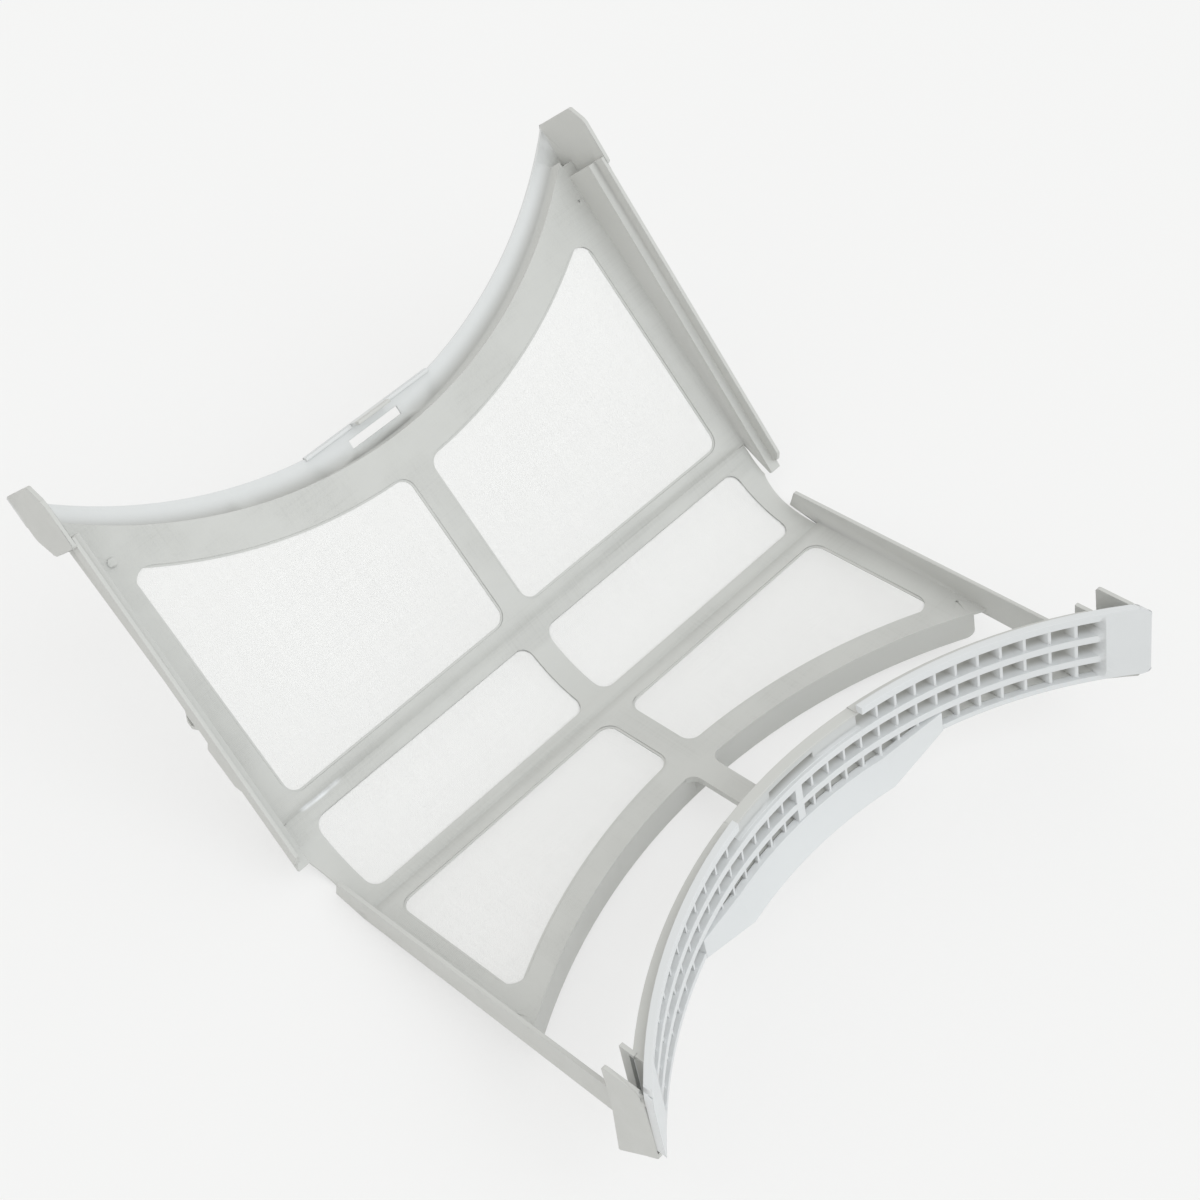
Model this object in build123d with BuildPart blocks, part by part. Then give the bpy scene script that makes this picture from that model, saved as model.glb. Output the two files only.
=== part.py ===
import os
from math import acos, atan2, cos, degrees, hypot, pi, radians, sin, sqrt, tan

from build123d import *

os.makedirs("parts", exist_ok=True)

# Shared sizes, in millimetres and degrees; the rails' inner faces set the width of all pieces
rail_inner = 146.0
sheet = 1.5
wall = 2.0
rib_width = 12.0
corner_radius = 7.0
cloth = 0.4
cloth_margin = 3.0

# Front half: two windows between a straight edge at the fold and an arc
window_side = 11.0
window_depth = 39.5
front_arc_radius = 275.0
arc_bar = 11.7
arc_wall_depth = 15.0
front_seam = 6.8
rail_top = 11.8
rail_bottom = 5.5
arc_wall_side = 5.0
rail_reach = 24.0
bridge_depth = 3.6
pinhole = 1.4
pinhole_side = 3.7
pinhole_back = 13.75

# Grille: an egg-crate wall on an arc, held in a curved backing of the front frame
grille_radius = 214.6
grille_apex = 110.5
grille_overhang = 6.0
grille_foot = 2.7
rim_top = 42.8
backing_foot = -0.8
backing_top = 38.0
backing_lip = 1.8
skin = 3.4
grille_depth = 8.6
grille_gap = 0.1
end_round = 3.6
core_inset = 4.2
cell_edge = 1.2
cells = 30
bar = 1.3
bar_set_back = 1.5
row_pitch = 12.3
row_height = 8.4
row_middle = 22.1
cell_round = 2.4
middle_bar = 4.2
recess_cells = 4
recess_margin = 0.8
recess_floor = 30.5
recess_depth = 3.8
rim_notch = 0.4
pocket_half = 13.5
pocket_height = 3.0
handle_half = 46.5
handle_end = 75.6
handle_reach = 6.5
handle_drop = 7.8
handle_crease = 5.5
handle_end_crease = 13.5

# Ends of the front half
end_plate_drop = 19.5
end_plate_length = 27.0
end_rib_side = 4.7
end_rib_length = 8.0
end_rib_top = 38.2
end_rib_gap = 0.3
rib_root = 1.3

# Fold between the halves, as it stands open
fold_angle = 52.56
strip_radius = 52.0
strip_side = 1.0
strip_tail = 6.45
strip_bar = 6.7
strip_window_end = 0.3
seam_gap = 0.1

# Rear half: two deep windows, a stepped flange and side rails
rear_seam = 6.75
rear_window_side = 9.5
rear_window_depth = 80.3
rear_arc_radius = 245.5
step_depth = 95.0
step_radius = 227.9
flange_depth = 108.5
flange_radius = 225.0
flange_sheet = 1.6
closed_angle = 4.4
closed_y = 1.5
flange_seat = 40.8
rim_gap = 0.6
ledge_height = 8.3
ledge_sheet = 1.8
lip_height = 6.0
side_gap = 0.6
ledge_width = 4.2
lip = 1.9
rear_rail_start = -25.0
rear_rail_stop = 5.6
lip_inset = 4.0
bulge_start = 16.0
bulge_end = 44.0
bulge_drop = 4.0
tab_start = 49.0
tab_end = 61.0
tab_drop = 4.5
end_gap = 0.4
rear_plate = 2.0
plate_lap = 4.0
plate_shoulder = 9.0
plate_crown = 2.0
plate_hem = 0.6
latch_half = 37.0
latch_hole_half = 14.5
latch_hole = 4.2
hook_half = 9.5
hook = 1.6
hook_gap = 0.7
hook_drop = 8.4
boss_radius = 2.2
boss_height = 0.8
boss_side = 9.6
boss_back = 24.8
rear_pinhole_side = 2.8
rear_pinhole_back = 17.3

# Widths that follow the rails
window_half = rail_inner - window_side
arc_wall_half = rail_inner - arc_wall_side
grille_half = rail_inner + wall + grille_overhang
core_half = rail_inner - core_inset
cell_pitch = 2 * (core_half - cell_edge) / cells
end_rib_x = rail_inner - end_rib_side
strip_half = rail_inner - strip_side
rear_window_half = rail_inner - rear_window_side

# How the part lies: on the strip's round underside and on the middle of the arc bar's wall
strip_outer = strip_radius + sheet
foot_y = -(window_depth + arc_bar - wall)
lean_run = front_seam - foot_y
lean_rise = strip_radius + arc_wall_depth
lean = acos(strip_outer / hypot(lean_run, lean_rise)) - atan2(lean_run, lean_rise)
rise = radians(fold_angle) - lean
floor_shift = strip_outer + front_seam * sin(lean) - strip_radius * cos(lean)

# Where the two sheets would meet, and the start of the rear windows
tangent = strip_radius * tan(radians(fold_angle) / 2)
meet_y = front_seam + tangent
rear_y = meet_y + (tangent + strip_tail + rear_seam) * cos(radians(fold_angle))
rear_z = (tangent + strip_tail + rear_seam) * sin(radians(fold_angle))

# Arcs of the grille and of the flange
grille_axis = -(grille_apex + grille_radius)
back_radius = grille_radius + grille_depth
seam_radius = grille_radius + skin
recess_half = recess_cells * cell_pitch + recess_margin
top_cells = cells // 2 - recess_cells - 1
top_cells_x = (recess_cells + top_cells / 2) * cell_pitch
rim_middle = (rim_top + grille_foot) / 2
backing_middle = (backing_top + backing_foot) / 2
backing_height = backing_top - backing_foot
flange_axis = flange_depth + flange_radius
rear_half_width = grille_half + end_gap + rear_plate
flange_corner = flange_axis - sqrt(flange_radius**2 - rear_half_width**2)

# The part stands in the middle of its own length
front_most = cos(lean) * (grille_axis + sqrt(grille_radius**2 - grille_half**2))
front_most = front_most + sin(lean) * (grille_foot + end_round)
flange_drop = (flange_seat - rail_top - ledge_height) / cos(radians(closed_angle))
flange_rise = rise + radians(closed_angle)
rear_most = cos(lean) * rear_y + sin(lean) * rear_z + flange_drop * sin(rise)
rear_most = rear_most + flange_corner * cos(flange_rise) + flange_sheet * sin(flange_rise)
shift = -(front_most + rear_most) / 2

front = Plane(origin=(0, shift, floor_shift), x_dir=(1, 0, 0), z_dir=(0, sin(lean), cos(lean)))
front_side = Plane(origin=front.origin, x_dir=front.y_dir, z_dir=(1, 0, 0))
front_face = Plane(origin=front.origin, x_dir=(1, 0, 0), z_dir=-front.y_dir)
rear_origin = front.origin + front.y_dir * rear_y + front.z_dir * rear_z
rear = Plane(origin=rear_origin, x_dir=(1, 0, 0), z_dir=(0, -sin(rise), cos(rise)))
rear_side = Plane(origin=rear_origin, x_dir=rear.y_dir, z_dir=(1, 0, 0))

# Corners of the front sheet and of its windows
window_axis = -(window_depth + front_arc_radius)
bar_axis = window_axis - arc_bar
rib_half = rib_width / 2
rib_corner = window_axis + sqrt(front_arc_radius**2 - rib_half**2)
window_corner = window_axis + sqrt(front_arc_radius**2 - window_half**2)
window_mid = (rib_half + window_half) / 2
window_mid_y = window_axis + sqrt(front_arc_radius**2 - window_mid**2)
sheet_corner = bar_axis + sqrt(front_arc_radius**2 - rail_inner**2)
sheet_apex = bar_axis + front_arc_radius
pinhole_x = rail_inner - pinhole_side
pinhole_y = sheet_corner + pinhole_back
wall_radius = front_arc_radius + wall
wall_outer_end = bar_axis + sqrt(front_arc_radius**2 - arc_wall_half**2)
wall_inner_end = bar_axis + sqrt(wall_radius**2 - arc_wall_half**2)
cloth_half = window_half + cloth_margin
cloth_radius = front_arc_radius - cloth_margin
cloth_corner = window_axis + sqrt(cloth_radius**2 - cloth_half**2)
cloth_top = -(sheet - cloth) / 2

# Corners of the curved backing behind the grille
frame_front = seam_radius + grille_gap
frame_front_end = grille_axis + sqrt(frame_front**2 - grille_half**2)
frame_back_end = grille_axis + sqrt(back_radius**2 - grille_half**2)
core_foot = row_middle - row_pitch - row_height / 2
core_head = backing_top - backing_lip
pocket_x = (grille_half - wall + core_half) / 2
pocket_z = (backing_top + wall + core_foot) / 2
rail_end = grille_axis + sqrt((back_radius - rib_root) ** 2 - (rail_inner + wall / 2) ** 2)
rib_end = grille_axis + sqrt((back_radius - rib_root) ** 2 - end_rib_x**2)
rib_clear = grille_axis + sqrt(back_radius**2 - (end_rib_x - wall / 2) ** 2) + end_rib_gap
plate_end = grille_axis + sqrt((back_radius - rib_root) ** 2 - (grille_half - wall / 2) ** 2)
plate_front = grille_axis + sqrt(frame_front**2 - (grille_half - wall) ** 2) + end_rib_gap
plate_top = flange_seat - rim_gap

# Front frame: sheet with two windows, arc bar, side rails, bridge and grille backing
with BuildPart() as front_frame:
    with BuildSketch(front.offset(backing_foot)):
        with BuildLine():
            ThreePointArc(
                (-grille_half, frame_back_end),
                (0, grille_axis + back_radius),
                (grille_half, frame_back_end),
            )
            Line((grille_half, frame_back_end), (grille_half, frame_front_end))
            ThreePointArc(
                (grille_half, frame_front_end),
                (0, grille_axis + frame_front),
                (-grille_half, frame_front_end),
            )
            Line((-grille_half, frame_front_end), (-grille_half, frame_back_end))
        make_face()
    extrude(amount=backing_height)
    with BuildSketch(front_face):
        with Locations((0, backing_middle)):
            Rectangle(2 * grille_half + wall, backing_height + wall)
            RectangleRounded(2 * grille_half, backing_height, end_round, mode=Mode.SUBTRACT)
    extrude(amount=-grille_axis, mode=Mode.SUBTRACT)
    with BuildSketch(front_face):
        with Locations((0, (core_foot + core_head) / 2)):
            Rectangle(2 * core_half, core_head - core_foot)
    extrude(amount=-grille_axis, mode=Mode.SUBTRACT)
    with BuildSketch(front_face):
        with Locations((pocket_x, pocket_z), (-pocket_x, pocket_z)):
            Rectangle(grille_half - wall - core_half, backing_top + wall - core_foot)
    extrude(amount=-grille_axis, mode=Mode.SUBTRACT)
    with BuildSketch(front_face):
        with Locations((0, backing_top)):
            Rectangle(2 * recess_half, 2 * rim_notch)
    extrude(amount=-grille_axis, mode=Mode.SUBTRACT)
    with BuildSketch(front):
        with BuildLine():
            Polyline(
                (-rail_inner, sheet_corner),
                (-rail_inner, front_seam),
                (rail_inner, front_seam),
                (rail_inner, sheet_corner),
            )
            ThreePointArc((rail_inner, sheet_corner), (0, sheet_apex), (-rail_inner, sheet_corner))
        make_face()
    extrude(amount=-sheet)
    with BuildSketch(front.offset(-sheet)):
        with BuildLine():
            ThreePointArc(
                (-arc_wall_half, wall_outer_end),
                (0, sheet_apex),
                (arc_wall_half, wall_outer_end),
            )
            Line((arc_wall_half, wall_outer_end), (arc_wall_half, wall_inner_end))
            ThreePointArc(
                (arc_wall_half, wall_inner_end),
                (0, sheet_apex + wall),
                (-arc_wall_half, wall_inner_end),
            )
            Line((-arc_wall_half, wall_inner_end), (-arc_wall_half, wall_outer_end))
        make_face()
    extrude(amount=sheet - arc_wall_depth)
    with BuildSketch(front):
        with BuildLine():
            Polyline(
                (rib_half, rib_corner),
                (rib_half, 0),
                (window_half, 0),
                (window_half, window_corner),
            )
            ThreePointArc((window_half, window_corner), (window_mid, window_mid_y), (rib_half, rib_corner))
        make_face()
        fillet(vertices(), corner_radius)
        mirror(about=Plane.YZ)
    extrude(amount=-sheet, mode=Mode.SUBTRACT)
    with BuildSketch(front.offset(cloth_top)):
        with BuildLine():
            Polyline(
                (-cloth_half, cloth_corner),
                (-cloth_half, cloth_margin),
                (cloth_half, cloth_margin),
                (cloth_half, cloth_corner),
            )
            ThreePointArc(
                (cloth_half, cloth_corner),
                (0, window_axis + cloth_radius),
                (-cloth_half, cloth_corner),
            )
        make_face()
    extrude(amount=-cloth, mode=Mode.SUBTRACT)
    with BuildSketch(front):
        with Locations((0, (sheet_apex + grille_axis + back_radius) / 2)):
            Rectangle(rib_width, sheet_apex - grille_axis - back_radius + wall)
    extrude(amount=-bridge_depth)
    with BuildSketch(front):
        with Locations((pinhole_x, pinhole_y), (-pinhole_x, pinhole_y)):
            Circle(pinhole / 2)
    extrude(amount=-sheet, mode=Mode.SUBTRACT)
    for side in (rail_inner, -rail_inner - wall):
        with BuildSketch(front_side.offset(side)):
            with BuildLine():
                Polyline(
                    (rail_end, backing_foot),
                    (rail_end + rail_bottom, -rail_bottom),
                    (front_seam, -sheet),
                    (rail_reach, 0.2 * rail_top),
                    (rail_reach - 0.3 * rail_top, rail_top),
                    (rail_end, rail_top),
                    close=True,
                )
            make_face()
        extrude(amount=wall)
    for side in (end_rib_x - wall / 2, -end_rib_x - wall / 2):
        with BuildSketch(front_side.offset(side)):
            with BuildLine():
                Polyline(
                    (rib_end, backing_foot),
                    (rib_end + end_rib_length, backing_foot),
                    (rib_end + end_rib_length, end_rib_top),
                    (rib_end, end_rib_top),
                    (rib_end, core_head),
                    (rib_clear, core_head),
                    (rib_clear, core_foot),
                    (rib_end, core_foot),
                    close=True,
                )
            make_face()
        extrude(amount=wall)
    for side in (grille_half - wall, -grille_half):
        with BuildSketch(front_side.offset(side)):
            with BuildLine():
                Polyline(
                    (plate_front, plate_top),
                    (plate_end + 0.6 * end_plate_length, plate_top),
                    (plate_end + 0.58 * end_plate_length, 0.36 * rim_top),
                    (plate_end + 0.7 * end_plate_length, -end_plate_drop),
                    (plate_end, -0.27 * end_plate_drop),
                    (plate_end, backing_middle),
                    (plate_front, backing_middle),
                    close=True,
                )
            make_face()
        extrude(amount=wall)
front_frame.part.label = "front_frame"
export_step(front_frame.part, "parts/front_frame.step")

# Front cloth: one fine mesh held in the middle of the front sheet
with BuildPart() as front_mesh:
    with BuildSketch(front.offset(cloth_top)):
        with BuildLine():
            Polyline(
                (-cloth_half, cloth_corner),
                (-cloth_half, cloth_margin),
                (cloth_half, cloth_margin),
                (cloth_half, cloth_corner),
            )
            ThreePointArc(
                (cloth_half, cloth_corner),
                (0, window_axis + cloth_radius),
                (-cloth_half, cloth_corner),
            )
        make_face()
    extrude(amount=-cloth)
front_mesh.part.label = "front_mesh"
export_step(front_mesh.part, "parts/front_mesh.step")

# Corners of the grille's skin and of its core
skin_front_end = grille_axis + sqrt(grille_radius**2 - grille_half**2)
skin_back_end = grille_axis + sqrt(seam_radius**2 - grille_half**2)
core_side = core_half - grille_gap
core_front_end = grille_axis + sqrt(seam_radius**2 - core_side**2)
core_back_end = grille_axis + sqrt(back_radius**2 - core_side**2)
recess_radius = grille_radius + recess_depth
recess_back_end = grille_axis + sqrt(recess_radius**2 - recess_half**2)
groove_half = cells / 2 * cell_pitch - bar / 2 - cell_round
groove_radius = grille_radius + bar_set_back
groove_back_end = grille_axis + sqrt(groove_radius**2 - groove_half**2)
groove_front_end = grille_axis + sqrt(grille_radius**2 - groove_half**2) - wall
grip_radius = grille_radius - handle_reach
grip_root = grille_radius + skin - 0.5
grip_turn = degrees(pi / 2 - acos(handle_half / grille_radius))
grip_end = degrees(pi / 2 - acos(handle_end / grille_radius))
grille_centre = front.origin + front.y_dir * grille_axis

# Grille: fascia with three rows of cells, a latch recess in the rim and a pull handle
with BuildPart() as grille:
    with BuildSketch(front.offset(grille_foot)):
        with BuildLine():
            ThreePointArc(
                (-grille_half, skin_back_end),
                (0, grille_axis + seam_radius),
                (grille_half, skin_back_end),
            )
            Line((grille_half, skin_back_end), (grille_half, skin_front_end))
            ThreePointArc(
                (grille_half, skin_front_end),
                (0, grille_axis + grille_radius),
                (-grille_half, skin_front_end),
            )
            Line((-grille_half, skin_front_end), (-grille_half, skin_back_end))
        make_face()
    extrude(amount=rim_top - grille_foot)
    with BuildSketch(front_face):
        with Locations((0, rim_middle)):
            Rectangle(2 * grille_half + wall, rim_top - grille_foot + wall)
            RectangleRounded(2 * grille_half, rim_top - grille_foot, end_round, mode=Mode.SUBTRACT)
    extrude(amount=-grille_axis, mode=Mode.SUBTRACT)
    with BuildSketch(front.offset(core_foot + grille_gap)):
        with BuildLine():
            ThreePointArc(
                (-core_side, core_back_end),
                (0, grille_axis + back_radius),
                (core_side, core_back_end),
            )
            Line((core_side, core_back_end), (core_side, core_front_end))
            ThreePointArc(
                (core_side, core_front_end),
                (0, grille_axis + seam_radius),
                (-core_side, core_front_end),
            )
            Line((-core_side, core_front_end), (-core_side, core_back_end))
        make_face()
    extrude(amount=core_head - core_foot - 2 * grille_gap)
    with BuildSketch(front.offset(recess_floor)):
        with BuildLine():
            ThreePointArc(
                (-recess_half, recess_back_end),
                (0, grille_axis + recess_radius),
                (recess_half, recess_back_end),
            )
            Polyline(
                (recess_half, recess_back_end),
                (recess_half, grille_axis + grip_radius - handle_reach),
                (-recess_half, grille_axis + grip_radius - handle_reach),
                (-recess_half, recess_back_end),
            )
        make_face()
    extrude(amount=rim_top - recess_floor, mode=Mode.SUBTRACT)
    with BuildSketch(front_face):
        with Locations((0, recess_floor + pocket_height / 2)):
            Rectangle(2 * pocket_half, pocket_height)
    extrude(amount=-grille_axis, mode=Mode.SUBTRACT)
    with BuildSketch(front_face):
        with Locations((0, row_middle - row_pitch / 2)):
            with GridLocations(cell_pitch, row_pitch, cells - 2, 2):
                Rectangle(cell_pitch - bar, row_height)
        with Locations((top_cells_x, row_middle + row_pitch), (-top_cells_x, row_middle + row_pitch)):
            with GridLocations(cell_pitch, 0, top_cells, 1):
                Rectangle(cell_pitch - bar, row_height)
        with Locations((0, row_middle)):
            with GridLocations(cell_pitch * (cells - 1), row_pitch, 2, 3):
                RectangleRounded(cell_pitch - bar, row_height, cell_round)
            with GridLocations(cell_pitch * (cells - 1) - cell_round, row_pitch, 2, 3):
                Rectangle(cell_pitch - bar - cell_round, row_height)
    extrude(amount=-grille_axis, mode=Mode.SUBTRACT)
    for row in (-1, 0, 1):
        with BuildSketch(front.offset(row_middle + row * row_pitch - row_height / 2)):
            with BuildLine():
                ThreePointArc(
                    (-groove_half, groove_back_end),
                    (0, grille_axis + groove_radius),
                    (groove_half, groove_back_end),
                )
                Polyline(
                    (groove_half, groove_back_end),
                    (groove_half, groove_front_end),
                    (-groove_half, groove_front_end),
                    (-groove_half, groove_back_end),
                )
            make_face()
        extrude(amount=row_height, mode=Mode.SUBTRACT)
    with BuildSketch(front.offset(core_foot + 0.5)):
        with Locations((0, grille_axis + grille_radius + grille_depth / 2)):
            Rectangle(middle_bar, grille_depth - 0.2)
    extrude(amount=recess_floor - core_foot - 1.0)
    grip_plane = Plane(
        origin=grille_centre,
        x_dir=front.x_dir * sin(radians(grip_turn)) + front.y_dir * cos(radians(grip_turn)),
        z_dir=front.x_dir * cos(radians(grip_turn)) - front.y_dir * sin(radians(grip_turn)),
    )
    with BuildSketch(grip_plane):
        with BuildLine():
            Polyline(
                (grip_root, handle_crease + 1.0),
                (grille_radius - 0.1, handle_crease),
                (grip_radius, -handle_drop),
                (grip_radius + wall, -handle_drop - 0.6),
                (grip_root, grille_foot),
                close=True,
            )
        make_face()
    revolve(axis=Axis(grille_centre, front.z_dir), revolution_arc=2 * grip_turn)
    for turn, stop in ((grip_turn, grip_end), (-grip_turn, -grip_end)):
        inner_plane = Plane(
            origin=grille_centre,
            x_dir=front.x_dir * sin(radians(turn)) + front.y_dir * cos(radians(turn)),
            z_dir=front.x_dir * cos(radians(turn)) - front.y_dir * sin(radians(turn)),
        )
        outer_plane = Plane(
            origin=grille_centre,
            x_dir=front.x_dir * sin(radians(stop)) + front.y_dir * cos(radians(stop)),
            z_dir=front.x_dir * cos(radians(stop)) - front.y_dir * sin(radians(stop)),
        )
        with BuildSketch(inner_plane):
            with BuildLine():
                Polyline(
                    (grip_root, handle_crease + 1.0),
                    (grille_radius - 0.1, handle_crease),
                    (grip_radius, -handle_drop),
                    (grip_radius + wall, -handle_drop - 0.6),
                    (grip_root, grille_foot),
                    close=True,
                )
            make_face()
        with BuildSketch(outer_plane):
            with BuildLine():
                Polyline(
                    (grip_root, handle_end_crease + 0.5),
                    (grille_radius - 0.1, handle_end_crease),
                    (grille_radius - 0.2, grille_foot - 0.4),
                    (grille_radius + 0.5, grille_foot - 0.6),
                    (grip_root, grille_foot),
                    close=True,
                )
            make_face()
        loft(ruled=True)
grille.part.label = "grille"
export_step(grille.part, "parts/grille.step")

# Sizes of the strip that folds
strip_first = strip_bar / strip_radius
strip_last = radians(fold_angle) - strip_window_end / strip_radius
strip_mid = radians(fold_angle) / 2
strip_centre = front.origin + front.y_dir * front_seam + front.z_dir * strip_radius
strip_up = front.z_dir * cos(strip_mid) - front.y_dir * sin(strip_mid)
strip_plane = Plane(origin=strip_centre - strip_up * (strip_outer + 1.0), x_dir=(1, 0, 0), z_dir=strip_up)
strip_start_u = strip_radius * sin(strip_first - strip_mid)
strip_end_u = strip_radius * sin(strip_last - strip_mid)
turn_y = sin(radians(fold_angle))
turn_z = cos(radians(fold_angle))
half_y = sin(radians(fold_angle) / 2)
half_z = cos(radians(fold_angle) / 2)
cloth_inner = strip_radius + (sheet - cloth) / 2
cloth_outer = cloth_inner + cloth
cloth_start = strip_first - cloth_margin / strip_radius
cloth_tail = cloth_margin - strip_window_end
tail = strip_tail - seam_gap

# Hinge strip: the thin bent band between the halves, with two windows of its own
with BuildPart() as hinge_strip:
    with BuildSketch(front_side.offset(-strip_half)):
        with BuildLine():
            ThreePointArc(
                (front_seam, 0),
                (front_seam + strip_radius * half_y, strip_radius - strip_radius * half_z),
                (front_seam + strip_radius * turn_y, strip_radius - strip_radius * turn_z),
            )
            Polyline(
                (front_seam + strip_radius * turn_y, strip_radius - strip_radius * turn_z),
                (
                    front_seam + strip_radius * turn_y + tail * turn_z,
                    strip_radius - strip_radius * turn_z + tail * turn_y,
                ),
                (
                    front_seam + strip_outer * turn_y + tail * turn_z,
                    strip_radius - strip_outer * turn_z + tail * turn_y,
                ),
                (front_seam + strip_outer * turn_y, strip_radius - strip_outer * turn_z),
            )
            ThreePointArc(
                (front_seam + strip_outer * turn_y, strip_radius - strip_outer * turn_z),
                (front_seam + strip_outer * half_y, strip_radius - strip_outer * half_z),
                (front_seam, -sheet),
            )
            Line((front_seam, -sheet), (front_seam, 0))
        make_face()
    extrude(amount=2 * strip_half)
    with BuildSketch(strip_plane):
        with Locations((window_mid, (strip_start_u + strip_end_u) / 2)):
            RectangleRounded(window_half - rib_half, strip_end_u - strip_start_u, corner_radius - 1.0)
        with Locations((-window_mid, (strip_start_u + strip_end_u) / 2)):
            RectangleRounded(window_half - rib_half, strip_end_u - strip_start_u, corner_radius - 1.0)
    extrude(amount=strip_radius / 2, mode=Mode.SUBTRACT)
    with BuildSketch(front_side.offset(-cloth_half)):
        with BuildLine():
            ThreePointArc(
                (
                    front_seam + cloth_inner * sin(cloth_start),
                    strip_radius - cloth_inner * cos(cloth_start),
                ),
                (front_seam + cloth_inner * half_y, strip_radius - cloth_inner * half_z),
                (front_seam + cloth_inner * turn_y, strip_radius - cloth_inner * turn_z),
            )
            Polyline(
                (front_seam + cloth_inner * turn_y, strip_radius - cloth_inner * turn_z),
                (
                    front_seam + cloth_inner * turn_y + cloth_tail * turn_z,
                    strip_radius - cloth_inner * turn_z + cloth_tail * turn_y,
                ),
                (
                    front_seam + cloth_outer * turn_y + cloth_tail * turn_z,
                    strip_radius - cloth_outer * turn_z + cloth_tail * turn_y,
                ),
                (front_seam + cloth_outer * turn_y, strip_radius - cloth_outer * turn_z),
            )
            ThreePointArc(
                (front_seam + cloth_outer * turn_y, strip_radius - cloth_outer * turn_z),
                (front_seam + cloth_outer * half_y, strip_radius - cloth_outer * half_z),
                (
                    front_seam + cloth_outer * sin(cloth_start),
                    strip_radius - cloth_outer * cos(cloth_start),
                ),
            )
            Line(
                (
                    front_seam + cloth_outer * sin(cloth_start),
                    strip_radius - cloth_outer * cos(cloth_start),
                ),
                (
                    front_seam + cloth_inner * sin(cloth_start),
                    strip_radius - cloth_inner * cos(cloth_start),
                ),
            )
        make_face()
    extrude(amount=2 * cloth_half, mode=Mode.SUBTRACT)
hinge_strip.part.label = "hinge_strip"
export_step(hinge_strip.part, "parts/hinge_strip.step")

# Hinge cloth: the mesh that bends with the strip
with BuildPart() as hinge_mesh:
    with BuildSketch(front_side.offset(-cloth_half)):
        with BuildLine():
            ThreePointArc(
                (
                    front_seam + cloth_inner * sin(cloth_start),
                    strip_radius - cloth_inner * cos(cloth_start),
                ),
                (front_seam + cloth_inner * half_y, strip_radius - cloth_inner * half_z),
                (front_seam + cloth_inner * turn_y, strip_radius - cloth_inner * turn_z),
            )
            Polyline(
                (front_seam + cloth_inner * turn_y, strip_radius - cloth_inner * turn_z),
                (
                    front_seam + cloth_inner * turn_y + cloth_tail * turn_z,
                    strip_radius - cloth_inner * turn_z + cloth_tail * turn_y,
                ),
                (
                    front_seam + cloth_outer * turn_y + cloth_tail * turn_z,
                    strip_radius - cloth_outer * turn_z + cloth_tail * turn_y,
                ),
                (front_seam + cloth_outer * turn_y, strip_radius - cloth_outer * turn_z),
            )
            ThreePointArc(
                (front_seam + cloth_outer * turn_y, strip_radius - cloth_outer * turn_z),
                (front_seam + cloth_outer * half_y, strip_radius - cloth_outer * half_z),
                (
                    front_seam + cloth_outer * sin(cloth_start),
                    strip_radius - cloth_outer * cos(cloth_start),
                ),
            )
            Line(
                (
                    front_seam + cloth_outer * sin(cloth_start),
                    strip_radius - cloth_outer * cos(cloth_start),
                ),
                (
                    front_seam + cloth_inner * sin(cloth_start),
                    strip_radius - cloth_inner * cos(cloth_start),
                ),
            )
        make_face()
    extrude(amount=2 * cloth_half)
hinge_mesh.part.label = "hinge_mesh"
export_step(hinge_mesh.part, "parts/hinge_mesh.step")

# Corners of the rear sheet, its windows, its step and its flange
rear_wall = rail_inner + wall + side_gap
rear_window_axis = rear_window_depth + rear_arc_radius
rear_rib_corner = rear_window_axis - sqrt(rear_arc_radius**2 - rib_half**2)
rear_window_corner = rear_window_axis - sqrt(rear_arc_radius**2 - rear_window_half**2)
rear_mid = (rib_half + rear_window_half) / 2
rear_mid_y = rear_window_axis - sqrt(rear_arc_radius**2 - rear_mid**2)
step_axis = step_depth + step_radius
step_inner = step_radius - wall
step_corner = step_axis - sqrt(step_radius**2 - rear_wall**2)
step_edge = step_axis - sqrt(step_inner**2 - rear_wall**2)
rear_pinhole_x = rear_wall - rear_pinhole_side
rear_pinhole_y = step_corner - rear_pinhole_back
flange_root = step_axis - sqrt(step_radius**2 - rear_half_width**2)
rear_cloth_half = rear_window_half + cloth_margin
rear_cloth_radius = rear_arc_radius - cloth_margin
rear_cloth_corner = rear_window_axis - sqrt(rear_cloth_radius**2 - rear_cloth_half**2)
taper = tan(radians(closed_angle))
flange_up = rear.z_dir * cos(radians(closed_angle)) - rear.y_dir * sin(radians(closed_angle))
flange = Plane(origin=rear_origin - rear.z_dir * flange_drop, x_dir=(1, 0, 0), z_dir=flange_up)
hook_back = closed_y + flange_drop * sin(radians(closed_angle)) - grille_axis - frame_front + hook_gap
rear_rail_end = step_corner - rear_rail_stop
ledge_start = ledge_height + taper * rear_rail_start
ledge_stop = ledge_height + taper * rear_rail_end
corner_x = (rear_half_width + rear_wall) / 2
corner_y = (step_corner + rear_rail_end - plate_lap) / 2
lip_start = rear_rail_start + lip_inset
lip_rise = taper * (lip_inset + lip_height / 2) + lip_height

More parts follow.
